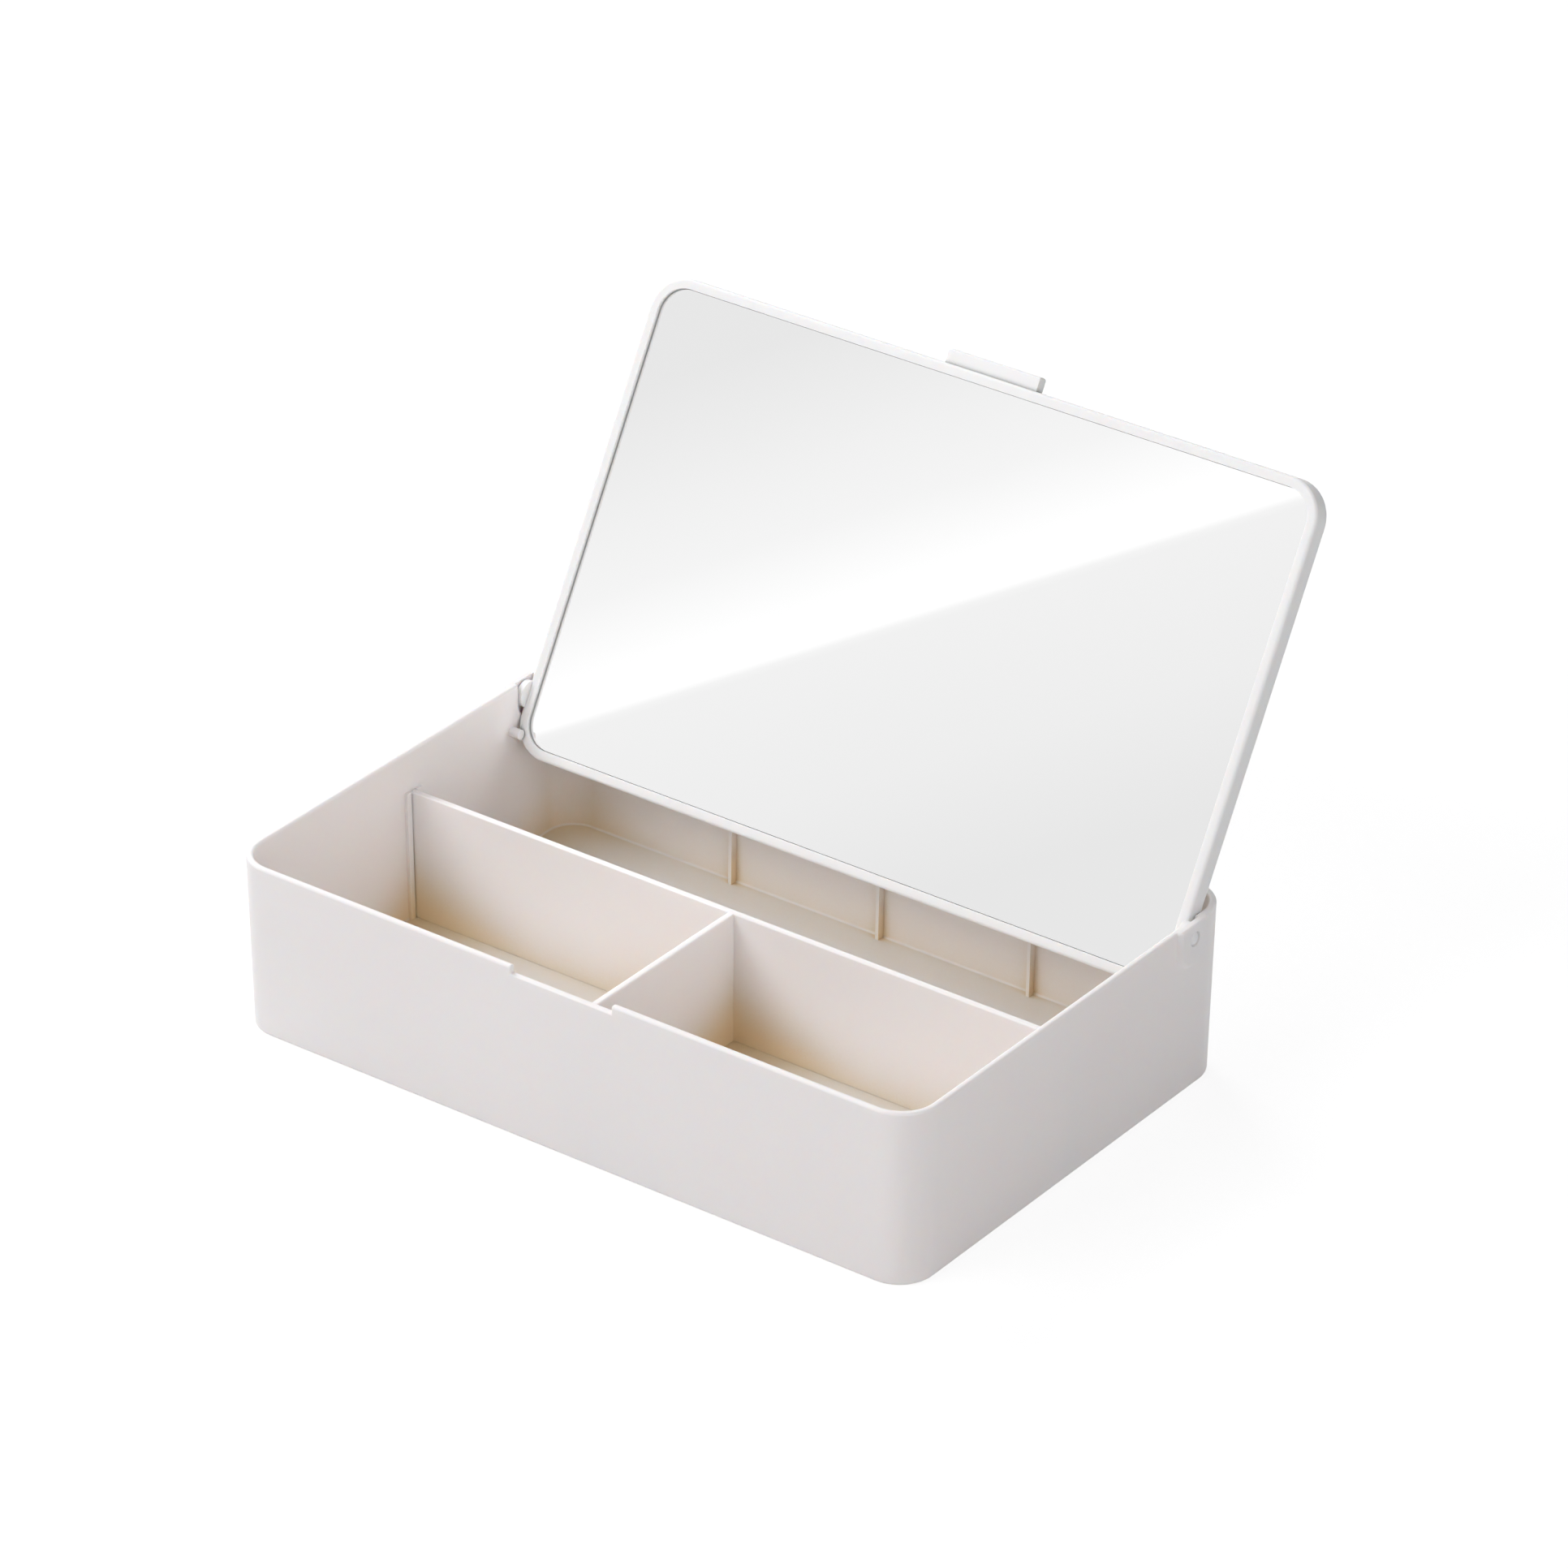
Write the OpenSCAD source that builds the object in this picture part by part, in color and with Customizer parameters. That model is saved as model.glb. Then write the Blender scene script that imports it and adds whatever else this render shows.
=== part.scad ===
// Make-up box with a mirror in its lid.
// A shallow tray with a T-shaped partition that lifts out. The lid sits inside the rim, turns on two
// pins moulded on its sides, and leans back on two stops, so that the mirror under it faces the user.
// Front is -Y. The origin is the middle of the tray's underside. The lid is drawn open.

/* [Tray] */
// Width of the tray over its rim, left to right
tray_w = 220; // [180:1:270]
// Depth of the tray over its rim, front to back
tray_d = 142.4; // [115:0.2:180]
// Height of the tray
tray_h = 51.2; // [46:0.2:70]
// Thickness of the walls
wall = 2; // [1.6:0.1:2.6]
// Thickness of the floor
floor_t = 1; // [0.8:0.1:2.4]
// How far each wall leans in between the rim and the base
draft = 1; // [0.4:0.1:1.6]
// Outer radius of the upright corners at the rim
corner_r = 11.5; // [9:0.5:18]
// Rounding along the edges of the rim
rim_round = 0.8; // [0.3:0.1:1.2]
// Rounding along the outer edge of the base
base_round = 1.2; // [0.5:0.1:2]
// Rounding between the floor and the walls, inside
floor_fillet = 0.6; // [0.4:0.1:2]
// Width of the notch in the front rim
notch_w = 32.6; // [20:0.2:60]
// Number of ribs on the rear wall
rib_count = 3; // [1:1:3]
// Distance from one rear rib to the next
rib_pitch = 49.5; // [30:0.5:60]
// Width of a rear rib
rib_w = 1; // [0.8:0.1:2]
// How far a rear rib stands out from the wall
rib_depth = 2.3; // [1:0.1:3]

/* [Partition] */
// Thickness of the partition's two plates
plate_t = 2; // [1.5:0.1:3]
// Place of the long plate, behind the tray's middle
long_plate_y = 1.7; // [-20:0.1:20]
// Place of the cross plate, right of the tray's middle
cross_plate_x = 0; // [-50:1:50]
// Free height between the partition and the closed lid
headroom = 6.7; // [2:0.1:15]
// Gap between the partition and the walls and guides that hold it
fit_gap = 0.3; // [0.2:0.05:0.5]
// Width of a guide rib beside the long plate's end
guide_w = 1.8; // [1:0.1:3]
// How far a guide rib stands out from the side wall
guide_depth = 1; // [0.6:0.1:2]

/* [Lid] */
// Thickness of the lid's outer skin
skin_t = 1.8; // [1.4:0.1:2.5]
// Width of the rim that frames the mirror
rim_w = 2.8; // [2.2:0.1:5]
// How far the closed lid stands above the tray's rim
lid_rise = 1; // [0:0.1:2]
// How much rounder the lid's upright corners are than the tray's inside
corner_ease = 1.5; // [0:0.1:4]
// Gap between the closed lid and the tray's front and side walls
lid_gap = 0.35; // [0.25:0.05:0.6]
// Gap between the lid's rear edge and the rear wall as the lid turns
sweep_gap = 0.6; // [0.4:0.1:1.5]
// Rounding along the lid's edges
edge_round = 0.9; // [0.4:0.1:1.2]
// Thickness of the finger tab
tab_t = 3.3; // [2.6:0.1:4.2]
// How far the finger tab stands out from the lid's front edge
tab_out = 4; // [3.5:0.1:9]
// Gap at each end of the finger tab in its notch
tab_gap = 1.6; // [0.5:0.1:3]

/* [Mirror] */
// Thickness of the mirror
mirror_t = 2; // [1:0.1:3]
// Thickness of the adhesive tape behind the mirror
tape_t = 0.8; // [0.2:0.1:1.2]
// How deep the mirror lies below the rim that frames it
mirror_inset = 1.4; // [0.8:0.1:2.5]
// Gap round the mirror's edge
mirror_gap = 0.2; // [0.1:0.05:0.6]
// Number of tape strips
tape_count = 4; // [2:1:6]
// Width of a tape strip
tape_w = 12; // [6:1:18]
// Distance from a strip's ends to the mirror's edge
tape_margin = 10; // [5:1:20]

/* [Hinge] */
// Angle that the lid opens through
open_angle = 120; // [95:1:125]
// Distance of the hinge line in front of the rear rim
hinge_back = 19.2; // [17:0.1:26]
// Distance of the hinge line below the rim
hinge_down = 4.3; // [4:0.1:6]
// Radius of the pins
pin_r = 2.1; // [1.5:0.1:2.6]
// Radial play of a pin in its hole
pin_play = 0.05; // [0.02:0.01:0.1]
// Radius of the round ear that carries a pin
ear_r = 3.8; // [3.2:0.1:3.9]
// Gap round an ear in its seat
ear_gap = 0.3; // [0.2:0.05:0.5]
// How far the seat reaches down below the hinge line, past the ear
seat_drop = 2; // [0:0.1:4]
// How far the wall bulges out round the seat
boss_out = 1.2; // [0.9:0.1:2]
// Radius of the round stop that the open lid leans on
stop_r = 1.4; // [0.8:0.1:1.6]
// Distance from the hinge line to the stop, along the open lid
stop_reach = 11; // [9:0.1:12]
// How far a stop stands out from the side wall
stop_len = 3.4; // [2.8:0.1:5]

/* [Hidden] */
$fn = 64;
arc_steps = 4;
seat_clearance = 0.1;
stop_clearance = 0.03;
overlap = 0.6;
pin_chamfer = 0.4;
tab_round = 0.6;
glass_chamfer = 0.25;

shell_white = [0.90, 0.88, 0.86];
mirror_silver = [0.93, 0.94, 0.95];
tape_white = [0.80, 0.80, 0.78];

rim_r = min(rim_round, wall / 2 - 0.05);
axis_x = tray_w / 2 - corner_r;
axis_y = tray_d / 2 - corner_r;

lid_t = skin_t + tape_t + mirror_t + mirror_inset;
recess = lid_t - skin_t;
lid_r = corner_r - wall - lid_gap + corner_ease;
lid_base = tray_h + lid_rise - lid_t;
pivot_y = tray_d / 2 - hinge_back;
pivot_z = tray_h - hinge_down;
sweep_r = hinge_back - wall - sweep_gap;
skin_above = hinge_down + lid_rise;
tail = edge_round + sqrt(pow(sweep_r - edge_round, 2) - pow(skin_above - edge_round, 2));
lid_front = -(tray_d / 2 - wall - lid_gap);
lid_rear = pivot_y + tail;
lid_half_w = tray_w / 2 - wall - lid_gap;
lid_half_d = (lid_rear - lid_front) / 2;
lid_mid = (lid_rear + lid_front) / 2;
glass_half_w = lid_half_w - rim_w - mirror_gap;
glass_half_d = lid_half_d - rim_w - mirror_gap;
glass_r = max(lid_r - rim_w - mirror_gap, 1);

partition_top = lid_base - headroom;
seat_r = ear_r + ear_gap;
seat_x = tray_w / 2 + boss_out - wall;
notch_depth = tab_t - lid_rise + seat_clearance;

// Distance from a corner's axis to the wall's outer face and inner face at height z
function outer_r(z) = corner_r - draft * (1 - z / tray_h);
function inner_r(z) = outer_r(z) - wall;

// Half of the cavity's width and depth at height z
function half_x(z) = axis_x + inner_r(z);
function half_y(z) = axis_y + inner_r(z);

// Points of an arc round a centre
function arc(centre, r, from, to) = [
    for (i = [0:arc_steps])
        let (a = from + (to - from) * i / arc_steps)
            centre + r * [cos(a), sin(a)]
];

// Rounded rectangle whose edge has the given section, drawn outwards from a corner's axis,
// with its middle filled between two heights
module rounded_form(across_x, across_y, section, low, high) {
    for (side = [0:3]) {
        across = side % 2 == 0 ? across_x : across_y;
        along = side % 2 == 0 ? across_y : across_x;
        rotate([0, 0, 90 * side]) translate([across, along, 0]) {
            rotate([90, 0, 0]) linear_extrude(2 * along) polygon(section);
            rotate_extrude(angle = 90) polygon(section);
        }
    }
    translate([-across_x, -across_y, low]) cube([2 * across_x, 2 * across_y, high - low]);
}

// Rib on the inside of the wall that faces +X, standing out from the cavity's half-size there
module wall_rib(half_low, half_high, depth, width, top) {
    rotate([90, 0, 0]) linear_extrude(width, center = true) polygon([
        [half_low - depth, floor_t / 2],
        [half_high - depth, top],
        [half_high + wall / 2, top],
        [half_low + wall / 2, floor_t / 2]
    ]);
}

// The lid's parts are placed closed, then turned back on the hinge line
module opened() {
    translate([0, pivot_y, pivot_z]) rotate([-open_angle, 0, 0]) translate([0, -pivot_y, -pivot_z])
        translate([0, lid_mid, lid_base]) children();
}

// The same thing on the right side and on the left side
module both_sides() {
    children();
    mirror([1, 0, 0]) children();
}

// Upright slot outline along X, round below and open at the rim
module seat_form(x, length, r, top) {
    translate([x, pivot_y, pivot_z - seat_drop]) {
        rotate([0, 90, 0]) cylinder(h = length, r = r);
        translate([0, -r, 0]) cube([length, 2 * r, top - pivot_z + seat_drop]);
    }
}

module tray_shell() {
    fillet_z = floor_t + floor_fillet;
    rounded_form(axis_x, axis_y, concat(
        [[0, 0]],
        arc([outer_r(base_round) - base_round, base_round], base_round, -90, 0),
        arc([outer_r(tray_h - rim_r) - rim_r, tray_h - rim_r], rim_r, 0, 90),
        arc([inner_r(tray_h - rim_r) + rim_r, tray_h - rim_r], rim_r, 90, 180),
        arc([inner_r(fillet_z) - floor_fillet, fillet_z], floor_fillet, 0, -90),
        [[0, floor_t]]
    ), 0, floor_t);
}

// Three thin ribs on the rear wall, which end below the turning lid's rear edge
module rear_ribs() {
    rib_face = hinge_back - wall - draft - rib_depth;
    rib_top = pivot_z - sqrt(max(pow(sweep_r, 2) - pow(rib_face, 2), 0)) - sweep_gap;
    for (i = [0:rib_count - 1])
        translate([(i - (rib_count - 1) / 2) * rib_pitch, 0, 0])
            rotate([0, 0, 90]) wall_rib(half_y(floor_t), half_y(rib_top), rib_depth, rib_w, rib_top);
}

// Guide ribs on both side walls, in front of and behind the long plate
module guide_ribs() {
    for (step = [-1, 1])
        translate([0, long_plate_y + step * (plate_t / 2 + fit_gap + guide_w / 2), 0])
            wall_rib(half_x(floor_t), half_x(partition_top), guide_depth, guide_w, partition_top);
}

// Round stop on a side wall, in front of the open lid's lower end
module stop() {
    away = lid_base - pivot_z - stop_r - stop_clearance;
    y = pivot_y + stop_reach * cos(open_angle) + away * sin(open_angle);
    z = pivot_z - stop_reach * sin(open_angle) + away * cos(open_angle);
    translate([half_x(z) - stop_len, y, z]) rotate([0, 90, 0]) cylinder(h = stop_len + wall / 2, r = stop_r);
}

module tray() {
    color(shell_white) difference() {
        union() {
            tray_shell();
            rear_ribs();
            both_sides() {
                guide_ribs();
                stop();
                seat_form(half_x(0) + wall / 2, seat_x + wall - half_x(0) - wall / 2, seat_r + wall, tray_h);
            }
        }
        both_sides() {
            seat_form(half_x(0) - overlap, seat_x - half_x(0) + overlap, seat_r, tray_h + overlap);
            translate([half_x(0), pivot_y, pivot_z]) rotate([0, 90, 0])
                cylinder(h = 3 * wall + boss_out, r = pin_r + pin_play);
        }
        translate([-notch_w / 2, -tray_d / 2 - overlap, tray_h - notch_depth])
            cube([notch_w, wall + 2 * overlap, notch_depth + overlap]);
    }
}

// One moulding: a long plate from side wall to side wall, and a cross plate to the front wall
module partition() {
    foot = floor_fillet + fit_gap;
    foot_z = floor_t + foot;
    color(shell_white) {
        translate([0, long_plate_y, 0]) rotate([90, 0, 0]) linear_extrude(plate_t, center = true) polygon([
            [-half_x(floor_t) + fit_gap + foot, floor_t],
            [half_x(floor_t) - fit_gap - foot, floor_t],
            [half_x(foot_z) - fit_gap, foot_z],
            [half_x(partition_top) - fit_gap, partition_top],
            [-half_x(partition_top) + fit_gap, partition_top],
            [-half_x(foot_z) + fit_gap, foot_z]
        ]);
        translate([cross_plate_x, 0, 0]) rotate([90, 0, 90]) linear_extrude(plate_t, center = true) polygon([
            [-half_y(floor_t) + fit_gap + foot, floor_t],
            [long_plate_y, floor_t],
            [long_plate_y, partition_top],
            [-half_y(partition_top) + fit_gap, partition_top],
            [-half_y(foot_z) + fit_gap, foot_z]
        ]);
    }
}

// Round ear on the lid's right side, with the pin that turns in the tray's wall
module ear() {
    ear_end = seat_x - ear_gap;
    pin_end = seat_x + wall - ear_gap;
    translate([0, pivot_y - lid_mid, pivot_z - lid_base]) rotate([0, 90, 0]) {
        translate([0, 0, lid_half_w - overlap]) cylinder(h = ear_end - lid_half_w + overlap, r = ear_r);
        translate([0, 0, lid_half_w]) cylinder(h = pin_end - lid_half_w - pin_chamfer, r = pin_r);
        translate([0, 0, pin_end - pin_chamfer])
            cylinder(h = pin_chamfer, r1 = pin_r, r2 = pin_r - pin_chamfer);
    }
}

// Finger tab, flush with the lid's outer face, which lies in the notch when the lid is closed
module tab() {
    tip = -lid_half_d - tab_out;
    width = notch_w - 2 * tab_gap;
    translate([-width / 2, 0, 0]) rotate([90, 0, 90]) linear_extrude(width) polygon(concat(
        arc([tip + tab_round, lid_t - tab_round], tab_round, 90, 180),
        arc([tip + tab_round, lid_t - tab_t + tab_round], tab_round, 180, 270),
        [[-lid_half_d + rim_w / 2, lid_t - tab_t], [-lid_half_d + rim_w / 2, lid_t]]
    ));
}

module lid() {
    color(shell_white) opened() {
        rounded_form(lid_half_w - lid_r, lid_half_d - lid_r, concat(
            [[0, recess], [lid_r - rim_w, recess], [lid_r - rim_w, 0]],
            arc([lid_r - edge_round, edge_round], edge_round, -90, 0),
            arc([lid_r - edge_round, lid_t - edge_round], edge_round, 0, 90),
            [[0, lid_t]]
        ), recess, lid_t);
        both_sides() ear();
        tab();
    }
}

// Silvered glass plate with ground edges, seen from the user's side
module mirror_glass() {
    color(mirror_silver) opened()
        rounded_form(glass_half_w - glass_r, glass_half_d - glass_r, [
            [0, mirror_inset],
            [glass_r - glass_chamfer, mirror_inset],
            [glass_r, mirror_inset + glass_chamfer],
            [glass_r, mirror_inset + mirror_t],
            [0, mirror_inset + mirror_t]
        ], mirror_inset, mirror_inset + mirror_t);
}

// Strips of double-sided tape between the mirror and the lid's skin
module mirror_tape() {
    pitch = (2 * glass_half_w - 2 * tape_margin - tape_w) / (tape_count - 1);
    length = 2 * (glass_half_d - tape_margin);
    color(tape_white) opened()
        for (i = [0:tape_count - 1])
            translate([-glass_half_w + tape_margin + i * pitch, -length / 2, recess - tape_t])
                cube([tape_w, length, tape_t]);
}

tray();
partition();
lid();
mirror_glass();  // mirror
mirror_tape();
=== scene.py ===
# Make-up box with a mirror in its lid: a white moulded tray, a partition that lifts out, and a lid that
# turns on two moulded pins and leans back on two stops. Each piece is drawn in millimetres, the lid as
# closed, and is brought to metres when it is made.
from math import atan2, cos, pi, radians, sin, sqrt

import bmesh
import bpy
from mathutils import Matrix, Vector


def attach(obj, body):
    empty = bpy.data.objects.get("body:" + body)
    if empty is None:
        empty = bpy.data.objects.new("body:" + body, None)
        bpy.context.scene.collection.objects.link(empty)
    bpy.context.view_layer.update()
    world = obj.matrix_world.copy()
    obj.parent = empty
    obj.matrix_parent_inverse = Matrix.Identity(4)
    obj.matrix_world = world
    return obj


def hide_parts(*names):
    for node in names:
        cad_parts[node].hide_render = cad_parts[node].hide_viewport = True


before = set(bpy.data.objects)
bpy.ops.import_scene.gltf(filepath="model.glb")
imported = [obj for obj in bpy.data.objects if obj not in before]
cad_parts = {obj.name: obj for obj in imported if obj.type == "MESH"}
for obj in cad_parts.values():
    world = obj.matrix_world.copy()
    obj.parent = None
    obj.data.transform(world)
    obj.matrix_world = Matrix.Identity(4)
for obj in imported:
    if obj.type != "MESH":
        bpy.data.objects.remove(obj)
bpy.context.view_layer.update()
scene = bpy.context.scene
mm = 0.001


# The camera is a long lens on a tripod, to the right of the box's front and above it. Its aim is given
# from the middle of the tray's underside: along the picture, up the picture, and the distance.
camera_azimuth = 36.491
camera_elevation = 29.155
camera_roll = 0.348
camera_aim = (14.515, 68.34, 2061.84)
camera_lens = 180

camera = bpy.data.objects.new("camera", bpy.data.cameras.new("camera"))
scene.collection.objects.link(camera)
camera.data.sensor_width = 36
camera.data.lens = camera_lens
camera.data.clip_start = 0.1
camera.data.clip_end = 30
camera.matrix_world = (
    Matrix.Rotation(radians(camera_azimuth), 4, "Z")
    @ Matrix.Rotation(pi / 2 - radians(camera_elevation), 4, "X")
    @ Matrix.Rotation(radians(camera_roll), 4, "Z")
    @ Matrix.Translation(Vector(camera_aim) * mm)
)
scene.camera = camera
scene.view_settings.view_transform = "Standard"


# The studio is a white table that runs on as far as can be seen, in a dim room with four wide soft lamps:
# a strong one at the left, one at the front left, and weaker ones at the right and behind. The table is lit
# to white and shows the box's shadow.
class Wire:
    """A value on its way through a material's nodes. Arithmetic on it adds Math nodes."""

    def __init__(self, finish, socket):
        self.finish = finish
        self.socket = socket

    def maths(self, operation, *values):
        return self.finish.node("ShaderNodeMath", {"operation": operation}, dict(enumerate(values)))

    def __add__(self, other):
        return self.maths("ADD", self, other)

    def __sub__(self, other):
        return self.maths("SUBTRACT", self, other)

    def __rsub__(self, other):
        return self.maths("SUBTRACT", other, self)

    def __mul__(self, other):
        return self.maths("MULTIPLY", self, other)

    def least(self, other):
        return self.maths("MINIMUM", self, other)

    def most(self, other):
        return self.maths("MAXIMUM", self, other)

    __radd__ = __add__
    __rmul__ = __mul__


class Finish:
    """The nodes of one material, or of the room's light."""

    def __init__(self, owner):
        self.owner = owner
        owner.use_nodes = True
        self.tree = owner.node_tree
        self.tree.nodes.clear()

    def node(self, kind, settings=None, sockets=None, output=0):
        """Adds a node: first its settings, then the values or links of its sockets."""
        node = self.tree.nodes.new(kind)
        for name, value in (settings or {}).items():
            if name == "stops":
                while len(node.color_ramp.elements) < len(value):
                    node.color_ramp.elements.new(1)
                for stop, (place, level) in zip(node.color_ramp.elements, value):
                    stop.position = place
                    stop.color = (level, level, level, 1)
            else:
                setattr(node, name, value)
        for name, value in (sockets or {}).items():
            if isinstance(value, Wire):
                self.tree.links.new(value.socket, node.inputs[name])
            else:
                node.inputs[name].default_value = value
        return Wire(self, node.outputs[output]) if node.outputs else None

    def colours(self, part, first, second):
        """Goes from the first colour to the second."""
        return self.node("ShaderNodeMix", {"data_type": "RGBA"}, {0: part, 6: first, 7: second}, output=2)

    def surface(self, shader, output="ShaderNodeOutputMaterial"):
        self.node(output, sockets={"Surface": shader})
        return self.owner


# The camera sees the table as a glow with a faint surface, so that only soft shadows show on it
table_white = (0.78, 0.78, 0.78, 1)
table_glow = 0.86
table_faint = (0.22, 0.22, 0.22, 1)
table_size = 12
table_gap = 0.00005
room_light = (0.95, 0.98, 1.0, 1)
room_level = 0.03
lamp_colour = (0.985, 0.985, 1.0)
lamp_distance = 1.7
lamp_width = 1.1
# Each lamp: name, direction in degrees from the front and above the table, watts
lamps = [
    ("left_lamp", -110, 38, 18.5),
    ("front_lamp", -30, 45, 16.4),
    ("right_lamp", 65, 20, 8.8),
    ("back_lamp", 130, 50, 3.0),
]

room = Finish(bpy.data.worlds.new("room"))
scene.world = room.owner
path = room.node("ShaderNodeLightPath").socket.node
seen = Wire(room, path.outputs["Is Camera Ray"]).most(Wire(room, path.outputs["Is Glossy Ray"]))
seen = seen.most(Wire(room, path.outputs["Is Transmission Ray"]))
light = room.node("ShaderNodeBackground", sockets={"Color": room_light, "Strength": room_level})
backdrop = room.node("ShaderNodeBackground", sockets={"Color": (1, 1, 1, 1), "Strength": 1})
shown = room.node("ShaderNodeMixShader", sockets={0: seen, 1: light, 2: backdrop})
room.surface(shown, "ShaderNodeOutputWorld")

table = Finish(bpy.data.materials.new("white_table"))
path = table.node("ShaderNodeLightPath").socket.node
seen = Wire(table, path.outputs["Is Camera Ray"]).most(Wire(table, path.outputs["Is Glossy Ray"]))
shade = table.node("ShaderNodeBsdfDiffuse", sockets={"Color": table_white})
faint = table.node("ShaderNodeBsdfDiffuse", sockets={"Color": table_faint})
glow = table.node("ShaderNodeEmission", sockets={"Color": (1, 1, 1, 1), "Strength": table_glow})
shown = table.node("ShaderNodeAddShader", sockets={0: faint, 1: glow})
table.surface(table.node("ShaderNodeMixShader", sockets={0: seen, 1: shade, 2: shown}))

bm = bmesh.new()
bmesh.ops.create_grid(bm, x_segments=1, y_segments=1, size=table_size / 2)
table_top = bpy.data.objects.new("table_top", bpy.data.meshes.new("table_top"))
bm.to_mesh(table_top.data)
bm.free()
scene.collection.objects.link(table_top)
table_top.data.materials.append(table.owner)
table_top.location.z = -table_gap

for name, azimuth, elevation, watts in lamps:
    lamp = bpy.data.objects.new(name, bpy.data.lights.new(name, "AREA"))
    scene.collection.objects.link(lamp)
    lamp.data.size = lamp_width
    lamp.data.energy = watts
    lamp.data.color = lamp_colour
    lamp.matrix_world = (
        Matrix.Rotation(radians(azimuth), 4, "Z")
        @ Matrix.Rotation(pi / 2 - radians(elevation), 4, "X")
        @ Matrix.Translation((0, 0, lamp_distance))
    )


# The tray is one moulding in warm-white polypropylene: drafted walls 2 mm thick, a rounded rim with a
# notch for the lid's tab, three ribs on the rear wall, guide ribs for the partition, a bulge on each side
# with a seat and a pin hole for the lid's ear, and two round stops.
tray_width = 220
tray_depth = 142.4
tray_height = 51.2
wall = 2
floor_thickness = 1
draft = 1
corner_radius = 11.5
rim_rounding = 0.8
base_rounding = 1.2
floor_fillet = 0.6
notch_width = 32.6
notch_depth = 2.4
rib_width = 1
rib_depth = 2.3
rib_top = 37.2
rib_places = (-49.5, 0, 49.5)
guide_width = 1.8
guide_depth = 1
guide_top = 39.5
guide_places = (-0.5, 3.9)
hinge_y = 52.0
hinge_z = 46.9
seat_radius = 4.1
seat_drop = 2
seat_start = 106
seat_floor = 109.2
bulge_out = 1.2
bulge_radius = 6.1
bulge_edge = 1.4
bulge_bottom = 37.6
bulge_front = 45
bulge_step = 0.4
pin_hole_radius = 2.15
pin_hole_start = 108
pin_hole_length = 6
stop_radius = 1.4
stop_length = 3.4
stop_place = (44.66, 38.44)
crease_rounding = 0.25
notch_rounding = 0.45
rounding_steps = 6
# Cutting shapes reach past the surface they cut by the margin, and added shapes into a wall by the root.
# A point within a hair of a level lies on it. Points within a speck are one, or within the weld after a cut.
cut_margin = 2
root = wall / 2
hair = 0.05
speck = 0.001
weld = 2 * speck

corner_x = tray_width / 2 - corner_radius
corner_y = tray_depth / 2 - corner_radius


def outer_radius(z):
    """From an upright corner's axis to the wall's outer face at height z."""
    return corner_radius - draft * (1 - z / tray_height)


def inner_radius(z):
    return outer_radius(z) - wall


def arc(across, up, radius, start, end, steps=rounding_steps):
    """Points of a rounding, from one angle to the other in degrees."""
    turns = [radians(start + (end - start) * i / steps) for i in range(steps + 1)]
    return [(across + radius * cos(turn), up + radius * sin(turn)) for turn in turns]


def sweep_round(bm, section, half_x, half_y, side_steps, corner_steps=16):
    """Carries a wall's section once round a rectangle with round corners, then closes what is left open.

    The section is given from a corner's axis outwards. Each side is run in steps, each corner is spun.
    """
    points = [bm.verts.new((half_x + across, -half_y, up)) for across, up in section]
    drawn = points + [bm.edges.new(pair) for pair in zip(points, points[1:])]
    for side in range(4):
        turn = Matrix.Rotation(side * pi / 2, 3, "Z")
        along, out = (half_y, half_x) if side % 2 == 0 else (half_x, half_y)
        place = -along
        for stop in [*side_steps.get(side, ()), along]:
            drawn = bmesh.ops.spin(bm, geom=drawn, cent=(0, 0, 0), axis=(0, 0, 1), angle=0, steps=1,
                                   dvec=turn @ Vector((0, stop - place, 0)))["geom_last"]
            place = stop
        drawn = bmesh.ops.spin(bm, geom=drawn, cent=turn @ Vector((out, along, 0)), axis=(0, 0, 1),
                               angle=pi / 2, steps=corner_steps)["geom_last"]
    bmesh.ops.remove_doubles(bm, verts=bm.verts, dist=speck)
    bmesh.ops.holes_fill(bm, edges=bm.edges, sides=0)
    bmesh.ops.recalc_face_normals(bm, faces=bm.faces)


def add_prism(bm, outline, run):
    """Draws an outline of points and pushes it along a run."""
    face = bm.faces.new([bm.verts.new(point) for point in outline])
    pushed = bmesh.ops.extrude_face_region(bm, geom=[face])["geom"]
    bmesh.ops.translate(bm, verts=[v for v in pushed if isinstance(v, bmesh.types.BMVert)], vec=run)
    bmesh.ops.recalc_face_normals(bm, faces=bm.faces)


def add_rod(bm, start, length, radius, segments=48):
    """A round rod along X."""
    middle = Matrix.Translation(Vector(start) + Vector((length / 2, 0, 0)))
    bmesh.ops.create_cone(bm, cap_ends=True, segments=segments, radius1=radius, radius2=radius,
                          depth=abs(length), matrix=middle @ Matrix.Rotation(pi / 2, 4, "Y"))


def combine(solid, tool, operation):
    """Joins a tool shape to a solid or cuts it away, and gives back the new solid."""
    shapes = []
    for bm in (solid, tool):
        shape = bpy.data.objects.new("shape", bpy.data.meshes.new("shape"))
        bm.to_mesh(shape.data)
        bm.free()
        scene.collection.objects.link(shape)
        shapes.append(shape)
    change = shapes[0].modifiers.new("change", "BOOLEAN")
    change.object = shapes[1]
    change.operation = operation
    change.solver = "EXACT"
    result = bmesh.new()
    result.from_object(shapes[0], bpy.context.evaluated_depsgraph_get())
    for shape in shapes:
        bpy.data.meshes.remove(shape.data)
    bmesh.ops.remove_doubles(result, verts=result.verts, dist=weld)
    return result


def clean_flats(bm, flat=0.4):
    """Joins the faces that lie in one plane, so that roundings run evenly along their edges."""
    bmesh.ops.dissolve_limit(bm, angle_limit=radians(flat), verts=bm.verts, edges=bm.edges)


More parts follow.
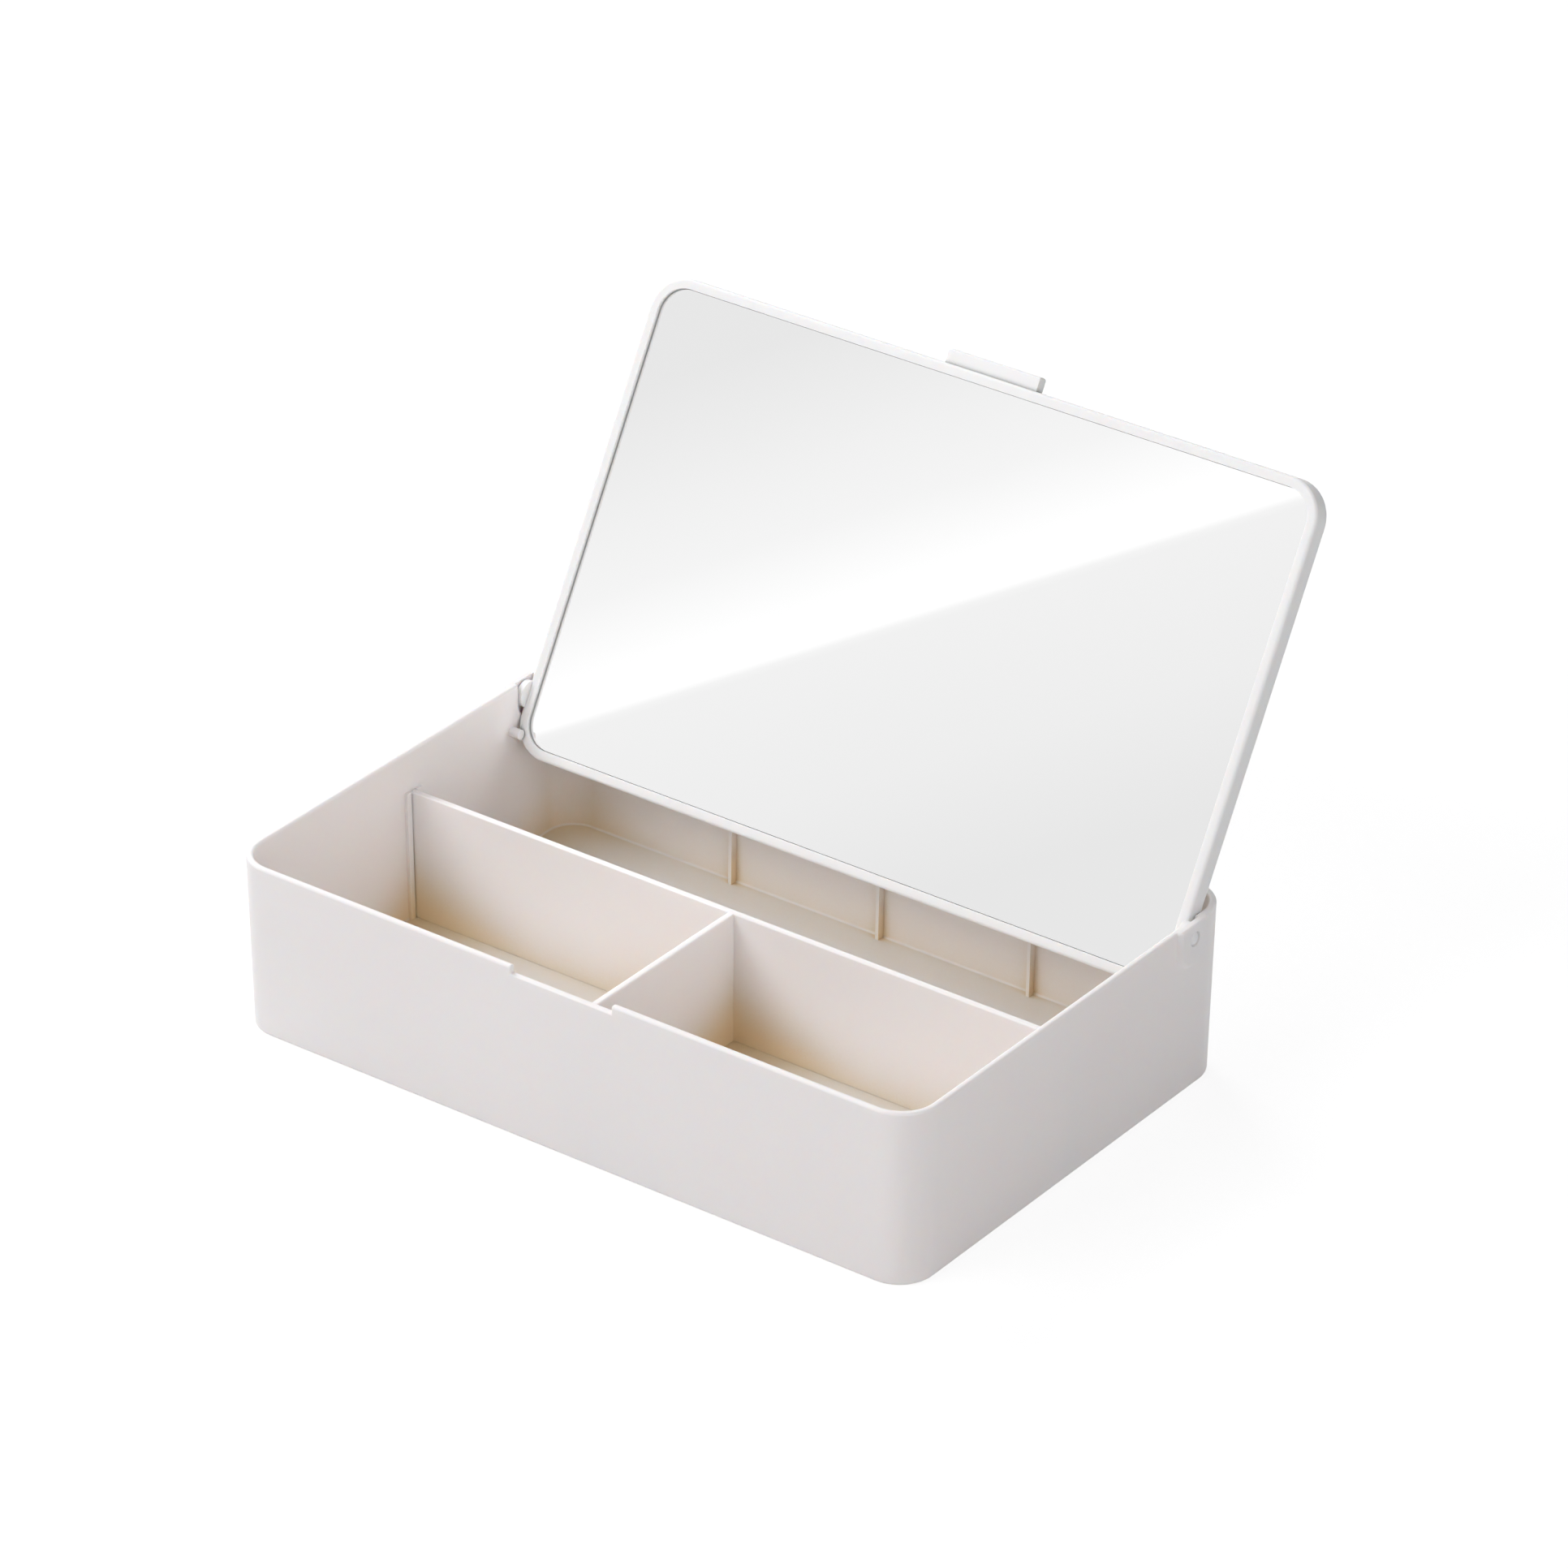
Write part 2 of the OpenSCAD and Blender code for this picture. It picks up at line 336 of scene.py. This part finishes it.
def round_creases(bm, radius, steps=3, least=30, inside=lambda point: True):
    """Rounds every edge that is sharper than the least angle and lies where asked."""
    creases = [edge for edge in bm.edges if edge.is_manifold and edge.calc_face_angle() > radians(least)
               and all(inside(v.co) for v in edge.verts)]
    bmesh.ops.bevel(bm, geom=creases, offset=radius, offset_type="OFFSET", segments=steps, profile=0.5,
                    affect="EDGES", material=-1, clamp_overlap=True)


def make_piece(bm, name, body, slot, finish, *nodes, smooth_below=40):
    """Brings a mesh to metres and makes it a piece that rides on its body and stands for its CAD nodes."""
    bmesh.ops.remove_doubles(bm, verts=bm.verts, dist=weld)
    bmesh.ops.dissolve_degenerate(bm, edges=bm.edges, dist=speck)
    bmesh.ops.recalc_face_normals(bm, faces=bm.faces)
    bmesh.ops.scale(bm, verts=bm.verts, vec=(mm, mm, mm))
    for face in bm.faces:
        face.smooth = True
    for edge in bm.edges:
        edge.smooth = edge.is_manifold and edge.calc_face_angle() < radians(smooth_below)
    piece = bpy.data.objects.new(name, bpy.data.meshes.new(name))
    bm.to_mesh(piece.data)
    bm.free()
    scene.collection.objects.link(piece)
    piece.data.materials.append(finish)
    even = piece.modifiers.new("even_shading", "WEIGHTED_NORMAL")
    even.keep_sharp = True
    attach(piece, body)
    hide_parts(*nodes)
    return piece


# The plastic is a satin warm white. It is a little creamier in places, its walls are very slightly uneven,
# and its skin has the fine grain of the mould. Light goes a little way into it. Deep inside, where light
# would pass from wall to wall many times, the white is darkened with painted shade, and in the corners with
# a painted warm-brown shade.
plastic_white = (0.935, 0.904, 0.9, 1)
plastic_cream = (0.91, 0.876, 0.867, 1)
# The next two colours are painted shade: a grey-brown shade, and a warm brown for the corners
plastic_painted_shade = (0.71, 0.65, 0.53, 1)
plastic_painted_deep_shade = (0.81, 0.64, 0.41, 1)
plastic_tones = (plastic_white, plastic_cream, plastic_painted_shade, plastic_painted_deep_shade)
# The painted shade deepens at a place when walls within the reach hide more of its surroundings than the
# start, at the rate. The tray's inner faces get the least painted shade everywhere. It begins at the light's
# height and grows downwards over the fade. Lengths are in metres.
painted_shade_reach = 0.035
painted_shade_start = 0.2
painted_shade_rate = 1.35
painted_shade_least = 0.3
light_height = 0.04
light_fade = 0.024
grain_height = 0.000006
flow_height = 0.00004


def moulded_plastic(name, tones, within, reach, start, rate, least=0):
    """The plastic's finish. Near other walls its white is darkened with painted shade, then with the deep
    shade.
    """
    white, cream, shade, deep = tones
    plastic = Finish(bpy.data.materials.new(name))
    place = plastic.node("ShaderNodeTexCoord", output="Object")
    clouds = plastic.node("ShaderNodeTexNoise", sockets={"Vector": place, "Scale": 22, "Detail": 3})
    grain = plastic.node("ShaderNodeTexNoise", sockets={
        "Vector": place,
        "Scale": 1500,
        "Detail": 3,
        "Roughness": 0.6,
    })
    flow = plastic.node("ShaderNodeTexNoise", sockets={"Vector": place, "Scale": 9, "Detail": 1})
    # Painted shade: where occlusion finds walls near, the white is mixed to the shade and then to the deep
    # colour
    openness = plastic.node("ShaderNodeAmbientOcclusion", {"samples": 8}, {"Distance": reach}, output=1)
    depth = (((1 - openness - start) * rate).most(least) * within(plastic, place)).least(1)
    part = depth * depth
    tone = plastic.colours(part, plastic.colours(clouds, white, cream), shade)
    tone = plastic.colours(part * part, tone, deep)
    relief = grain * grain_height + flow * flow_height
    skin = plastic.node("ShaderNodeBump", sockets={"Height": relief, "Distance": 1, "Strength": 1})
    return plastic.surface(plastic.node("ShaderNodeBsdfPrincipled", {"subsurface_method": "RANDOM_WALK"}, {
        "Base Color": tone,
        "Roughness": clouds * 0.1 + grain * 0.06 + 0.34,
        "Normal": skin,
        "IOR": 1.49,
        "Subsurface Weight": 0.6,
        "Subsurface Radius": (1.0, 0.8, 0.65),
        "Subsurface Scale": 0.0012,
    }))


def below_the_light(plastic, place):
    """The painted shade's mask. It grows from 0 near the rim, where white light reaches every face, towards
    the floor.
    """
    height = plastic.node("ShaderNodeSeparateXYZ", sockets={0: place}, output=2)
    return ((light_height - height) * (1 / light_fade)).most(0)


def within_walls(plastic, place):
    """The painted shade's mask: the same on the tray's inner faces, and 0 outside the middle of its walls.
    """
    middle_radius = (outer_radius(tray_height / 2) - wall / 2) * mm
    beside = plastic.node("ShaderNodeVectorMath", {"operation": "ABSOLUTE"}, {0: place})
    beside = plastic.node("ShaderNodeVectorMath", {"operation": "SUBTRACT"},
                          {0: beside, 1: (corner_x * mm, corner_y * mm, 0)})
    beside = plastic.node("ShaderNodeVectorMath", {"operation": "MAXIMUM"}, {0: beside, 1: (0, 0, 0)})
    beside = plastic.node("ShaderNodeVectorMath", {"operation": "MULTIPLY"}, {0: beside, 1: (1, 1, 0)})
    distance = plastic.node("ShaderNodeVectorMath", {"operation": "LENGTH"}, {0: beside}, output=1)
    return distance.maths("LESS_THAN", distance, middle_radius) * below_the_light(plastic, place)


plastic_tray = moulded_plastic("satin_white_plastic_tray_with_painted_shade", plastic_tones, within_walls,
                               painted_shade_reach, painted_shade_start, painted_shade_rate, painted_shade_least)

fillet_start = floor_thickness + floor_fillet
rim_start = tray_height - rim_rounding
row_count = round((rim_start - bulge_bottom) / bulge_step)
column_count = round(2 * (hinge_y - bulge_front) / bulge_step) + 1
bulge_rows = [bulge_bottom + bulge_step * i for i in range(row_count)]
bulge_columns = [bulge_front + bulge_step * i for i in range(column_count)]

tray = bmesh.new()
sweep_round(
    tray,
    arc(outer_radius(base_rounding) - base_rounding, base_rounding, base_rounding, -90, 0)
    + [(outer_radius(z), z) for z in bulge_rows]
    + arc(outer_radius(rim_start) - rim_rounding, rim_start, rim_rounding, 0, 90)
    + arc(inner_radius(rim_start) + rim_rounding, rim_start, rim_rounding, 90, 180)
    + arc(inner_radius(fillet_start) - floor_fillet, fillet_start, floor_fillet, 0, -90),
    corner_x, corner_y, {0: bulge_columns, 2: [-y for y in reversed(bulge_columns)]},
)

# Each side wall bulges outwards round the lid's ear, with soft edges
for vert in tray.verts:
    x, y, z = vert.co
    if abs(x) > seat_floor - hair and z > bulge_bottom:
        aside = sqrt((y - hinge_y) ** 2 + min(z - hinge_z + seat_drop, 0) ** 2) - bulge_radius
        part = min(max(0.5 - aside / bulge_edge, 0), 1)
        vert.co.x += (1 if x > 0 else -1) * bulge_out * part * part * (3 - 2 * part)

added = bmesh.new()
rear_low, rear_high = corner_y + inner_radius(floor_thickness), corner_y + inner_radius(rib_top)
side_low, side_high = corner_x + inner_radius(floor_thickness), corner_x + inner_radius(guide_top)
foot = floor_thickness / 2
for x in rib_places:
    left = x - rib_width / 2
    add_prism(added, [(left, rear_low - rib_depth, foot), (left, rear_low + root, foot),
                      (left, rear_high + root, rib_top), (left, rear_high - rib_depth, rib_top)],
              (rib_width, 0, 0))
for side in (-1, 1):
    for y in guide_places:
        near = y - guide_width / 2
        add_prism(added, [(side * (side_low - guide_depth), near, foot),
                          (side * (side_low + root), near, foot),
                          (side * (side_high + root), near, guide_top),
                          (side * (side_high - guide_depth), near, guide_top)], (0, guide_width, 0))
    stop_wall = corner_x + inner_radius(stop_place[1])
    stop_start = (side * (stop_wall - stop_length), *stop_place)
    add_rod(added, stop_start, side * (stop_length + root), stop_radius)
tray = combine(tray, added, "UNION")

seat_bowl = arc(hinge_y, hinge_z - seat_drop, seat_radius, 180, 360, steps=24)
seat_top = tray_height + cut_margin
seat_mouth = [(hinge_y + seat_radius, seat_top), (hinge_y - seat_radius, seat_top)]
for side in (-1, 1):
    seat = bmesh.new()
    add_prism(seat, [(side * seat_start, y, z) for y, z in seat_bowl + seat_mouth],
              (side * (seat_floor - seat_start), 0, 0))
    tray = combine(tray, seat, "DIFFERENCE")
cuts = bmesh.new()
notch_front = -tray_depth / 2 - cut_margin
add_prism(cuts, [(-notch_width / 2, notch_front, tray_height - notch_depth),
                 (notch_width / 2, notch_front, tray_height - notch_depth),
                 (notch_width / 2, notch_front, tray_height + cut_margin),
                 (-notch_width / 2, notch_front, tray_height + cut_margin)], (0, wall + 2 * cut_margin, 0))
for side in (-1, 1):
    add_rod(cuts, (side * pin_hole_start, hinge_y, hinge_z), side * pin_hole_length, pin_hole_radius)
tray = combine(tray, cuts, "DIFFERENCE")

clean_flats(tray)
round_creases(tray, notch_rounding,
              inside=lambda point: point.y < -corner_y and point.z > tray_height - 2 * notch_depth)
round_creases(tray, crease_rounding)
make_piece(tray, "tray_moulding", "tray", "white_plastic", plastic_tray, "tray")


# The partition is one T-shaped moulding in the same plastic: a long plate from side wall to side wall and
# a cross plate to the front wall, with rounded edges. It stands between the guide ribs and lifts out.
plate = 2
partition_top = 39.5
long_plate_y = 1.7
fit_gap = 0.3
foot_cut = floor_fillet + fit_gap
plate_rounding = 0.45
# How far the partition's painted shade reaches and how fast it grows
plate_reach = 0.045
plate_rate = 1.6

end_low = corner_x + inner_radius(floor_thickness) - fit_gap
end_high = corner_x + inner_radius(partition_top) - fit_gap
front_low = -(corner_y + inner_radius(floor_thickness) - fit_gap)
front_high = -(corner_y + inner_radius(partition_top) - fit_gap)

partition = bmesh.new()
add_prism(partition, [(-end_low, long_plate_y - plate / 2, floor_thickness),
                      (end_low, long_plate_y - plate / 2, floor_thickness),
                      (end_high, long_plate_y - plate / 2, partition_top),
                      (-end_high, long_plate_y - plate / 2, partition_top)], (0, plate, 0))
for x in (-plate / 2, plate / 2):
    bmesh.ops.bisect_plane(partition, geom=partition.verts[:] + partition.edges[:] + partition.faces[:],
                           plane_co=(x, 0, 0), plane_no=(1, 0, 0))
partition.faces.ensure_lookup_table()
crossing = [f for f in partition.faces if f.normal.y < -0.9 and abs(f.calc_center_median().x) < plate / 2]
pushed = bmesh.ops.extrude_discrete_faces(partition, faces=crossing)["faces"]
for vert in pushed[0].verts:
    vert.co.y = front_high if vert.co.z > partition_top / 2 else front_low
feet = [e for e in partition.edges if all(v.co.z < floor_thickness + hair for v in e.verts)
        and (all(abs(v.co.x) > corner_x for v in e.verts) or all(v.co.y < -corner_y for v in e.verts))]
bmesh.ops.bevel(partition, geom=feet, offset=foot_cut, offset_type="OFFSET", segments=1, profile=0.5,
                affect="EDGES", material=-1)
clean_flats(partition)
round_creases(partition, plate_rounding, inside=lambda point: point.z > floor_thickness + hair)
plastic_partition = moulded_plastic("satin_white_plastic_partition_with_painted_shade", plastic_tones, below_the_light,
                                    plate_reach, painted_shade_start, plate_rate)
make_piece(partition, "partition_moulding", "partition", "white_plastic", plastic_partition, "partition")


# The lid is one moulding in a slightly whiter plastic: a shallow pan whose rim frames the mirror, a round
# ear with a pin on each side, and a finger tab on its front edge. It is drawn closed, then turned back on
# its pins. The pan's side walls, in the dark between the rim and the glass, are darkened with painted shade.
skin_thickness = 1.8
lid_thickness = 6
lid_rise = 1
lid_half_width = 107.65
lid_front = -68.85
lid_rear = 67.97
lid_corner = 10.65
lid_rim = 2.8
lid_rounding = 0.9
tab_width = 29.4
tab_thickness = 3.3
tab_out = 4
tab_rounding = 0.7
ear_radius = 3.8
ear_end = 108.9
ear_root = 0.6
pin_radius = 2.1
pin_end = 111.1
pin_root = 0.3
pin_rounding = 1.2
section_end = 0.5
open_angle = 120
lid_white = (0.955, 0.948, 0.938, 1)
lid_cream = (0.94, 0.93, 0.918, 1)
# A painted dark shade for the pan's side walls, near the rim and the glass
lid_painted_shade = (0.3, 0.3, 0.29, 1)
lid_tones = (lid_white, lid_cream, lid_painted_shade, lid_painted_shade)
# How far the lid's painted shade reaches, where it starts and how fast it grows
recess_reach = 0.003
recess_start = 0.2
recess_rate = 3

lid_top = tray_height + lid_rise
lid_base = lid_top - lid_thickness
lid_middle = (lid_front + lid_rear) / 2
lid_half_depth = (lid_rear - lid_front) / 2
pan_floor = lid_top - skin_thickness


def place_in_lid(bm):
    """Moves what was drawn about the lid's middle to its place, then opens it on the hinge line."""
    bmesh.ops.translate(bm, verts=bm.verts, vec=(0, lid_middle, 0))
    bmesh.ops.rotate(bm, verts=bm.verts, cent=(0, hinge_y, hinge_z),
                     matrix=Matrix.Rotation(radians(-open_angle), 3, "X"))


def within_rim(plastic, place):
    """The painted shade's mask: 1 between the middles of the lid's side rims, and 0 on its sides."""
    aside = plastic.node("ShaderNodeSeparateXYZ", sockets={0: place}, output=0)
    aside = plastic.node("ShaderNodeMath", {"operation": "ABSOLUTE"}, {0: aside})
    return aside.maths("LESS_THAN", aside, (lid_half_width - lid_rim / 2) * mm)


lid = bmesh.new()
sweep_round(
    lid,
    [(section_end, pan_floor), (lid_corner - lid_rim, pan_floor), (lid_corner - lid_rim, lid_base)]
    + arc(lid_corner - lid_rounding, lid_base + lid_rounding, lid_rounding, -90, 0)
    + arc(lid_corner - lid_rounding, lid_top - lid_rounding, lid_rounding, 0, 90)
    + [(section_end, lid_top)],
    lid_half_width - lid_corner, lid_half_depth - lid_corner, {},
)
added = bmesh.new()
for side in (-1, 1):
    add_rod(added, (side * (lid_half_width - ear_root), hinge_y - lid_middle, hinge_z),
            side * (ear_end - lid_half_width + ear_root), ear_radius, segments=64)
lid = combine(lid, added, "UNION")
added = bmesh.new()
tab_front = -lid_half_depth - tab_out
tab_back = -lid_half_depth + lid_rim / 2
add_prism(added, [(-tab_width / 2, tab_front, lid_top - tab_thickness),
                  (-tab_width / 2, tab_back, lid_top - tab_thickness),
                  (-tab_width / 2, tab_back, lid_top),
                  (-tab_width / 2, tab_front, lid_top)], (tab_width, 0, 0))
for side in (-1, 1):
    add_rod(added, (side * (lid_half_width - pin_root), hinge_y - lid_middle, hinge_z),
            side * (pin_end - lid_half_width + pin_root), pin_radius)
lid = combine(lid, added, "UNION")
clean_flats(lid)
round_creases(lid, tab_rounding, inside=lambda point: point.y < tab_front + hair)
round_creases(lid, pin_rounding, inside=lambda point: abs(point.x) > pin_end - hair)
round_creases(lid, crease_rounding)
place_in_lid(lid)
plastic_lid = moulded_plastic("satin_white_plastic_lid_with_painted_shade", lid_tones, within_rim,
                              recess_reach, recess_start, recess_rate)
make_piece(lid, "lid_moulding", "lid", "white_plastic", plastic_lid, "lid")


# The mirror is a plate of silvered glass with ground edges. It lies in the lid's pan, a little below the
# rim, with a narrow gap round it.
mirror_thickness = 2
mirror_inset = 1.4
mirror_gap = 0.06
ground_edge = 0.1
mirror_half_width = lid_half_width - lid_rim - mirror_gap
mirror_half_depth = lid_half_depth - lid_rim - mirror_gap
mirror_corner = lid_corner - lid_rim - mirror_gap
mirror_face = lid_base + mirror_inset

glass = bmesh.new()
bmesh.ops.create_cube(glass, size=1, matrix=Matrix.Translation((0, 0, mirror_face + mirror_thickness / 2))
                      @ Matrix.Diagonal((2 * mirror_half_width, 2 * mirror_half_depth, mirror_thickness, 1)))
upright = [e for e in glass.edges if abs(e.verts[0].co.z - e.verts[1].co.z) > hair]
bmesh.ops.bevel(glass, geom=upright, offset=mirror_corner, offset_type="OFFSET", segments=16, profile=0.5,
                affect="EDGES", material=-1)
front_edges = [e for e in glass.edges if all(v.co.z < mirror_face + hair for v in e.verts)]
bmesh.ops.bevel(glass, geom=front_edges, offset=ground_edge, offset_type="OFFSET", segments=2, profile=0.5,
                affect="EDGES", material=-1)
place_in_lid(glass)

silver = (0.904, 0.904, 0.904, 1)
ripple_height = 0.000003
mirror = Finish(bpy.data.materials.new("silvered_glass"))
place = mirror.node("ShaderNodeTexCoord", output="Object")
haze = mirror.node("ShaderNodeTexNoise", sockets={"Vector": place, "Scale": 35, "Detail": 4})
ripple = mirror.node("ShaderNodeTexNoise", sockets={"Vector": place, "Scale": 6, "Detail": 0})
float_wave = mirror.node("ShaderNodeBump", sockets={
    "Height": ripple * ripple_height,
    "Distance": 1,
    "Strength": 1,
})
mirror.surface(mirror.node("ShaderNodeBsdfPrincipled", sockets={
    "Base Color": silver,
    "Metallic": 1,
    "Roughness": haze * 0.02,
    "Normal": float_wave,
}))
make_piece(glass, "mirror_glass", "lid", "mirror_glass", mirror.owner, "mirror")


# In the studio a graded card that glows is held close in front of the mirror, parallel to it, and only
# reflections show it: a painted reflection in the mirror. It goes from grey to white and back, with one
# crisp edge along the mirror's diagonal.
card_gap = 5
card_margin = 1
card_slip = -3
card_reach = 0.2133
# Places along the card from corner to corner, and how bright each one is
card_stops = [(0.33, 0.885), (0.41, 0.944), (0.499, 0.974), (0.504, 1.12), (0.53, 1.11), (0.577, 1.005),
              (0.62, 0.97), (0.7, 0.887)]

diagonal = atan2(mirror_half_depth, mirror_half_width)
card_paint = Finish(bpy.data.materials.new("graded_painted_reflection"))
across = card_paint.node("ShaderNodeVectorMath", {"operation": "DOT_PRODUCT"}, {
    0: card_paint.node("ShaderNodeTexCoord", output="Object"),
    1: (-sin(diagonal), -cos(diagonal), 0),
}, output=1)
shades = card_paint.node("ShaderNodeValToRGB", {"stops": card_stops},
                         {0: across * (0.5 / card_reach) + 0.5})
card_paint.surface(card_paint.node("ShaderNodeEmission", sockets={"Color": shades}))

bm = bmesh.new()
bmesh.ops.create_grid(bm, x_segments=1, y_segments=1, size=mm)
bmesh.ops.scale(bm, verts=bm.verts,
                vec=(mirror_half_width + card_margin, mirror_half_depth + card_margin, 1))
card = bpy.data.objects.new("painted_reflection_card", bpy.data.meshes.new("painted_reflection_card"))
bm.to_mesh(card.data)
bm.free()
scene.collection.objects.link(card)
card.data.materials.append(card_paint.owner)
lid_turn = Matrix.Rotation(radians(-open_angle), 4, "X")
hinge = Vector((0, hinge_y, hinge_z))
card_middle = Vector((card_slip, lid_middle, mirror_face - card_gap))
card.matrix_world = Matrix.Translation((hinge + lid_turn @ (card_middle - hinge)) * mm) @ lid_turn
card.visible_camera = card.visible_diffuse = card.visible_transmission = card.visible_shadow = False


# The tape that holds the mirror is thin double-sided foam tape in four strips, out of sight between the
# glass and the lid's skin. The CAD's strips have its shape and stay, with a tape's finish.
tape_white = (0.78, 0.77, 0.74, 1)
tape_pore = (0.62, 0.61, 0.58, 1)
pore_height = 0.00004

tape = Finish(bpy.data.materials.new("foam_tape"))
place = tape.node("ShaderNodeTexCoord", output="Object")
pores = tape.node("ShaderNodeTexVoronoi", sockets={"Vector": place, "Scale": 1800})
foam = tape.node("ShaderNodeBump", sockets={"Height": pores * pore_height, "Distance": 1, "Strength": 1})
tape.surface(tape.node("ShaderNodeBsdfPrincipled", sockets={
    "Base Color": tape.colours(pores, tape_pore, tape_white),
    "Roughness": pores * 0.2 + 0.6,
    "Normal": foam,
}))
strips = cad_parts["mirror_tape"]
strips.data.materials.clear()
strips.data.materials.append(tape.owner)
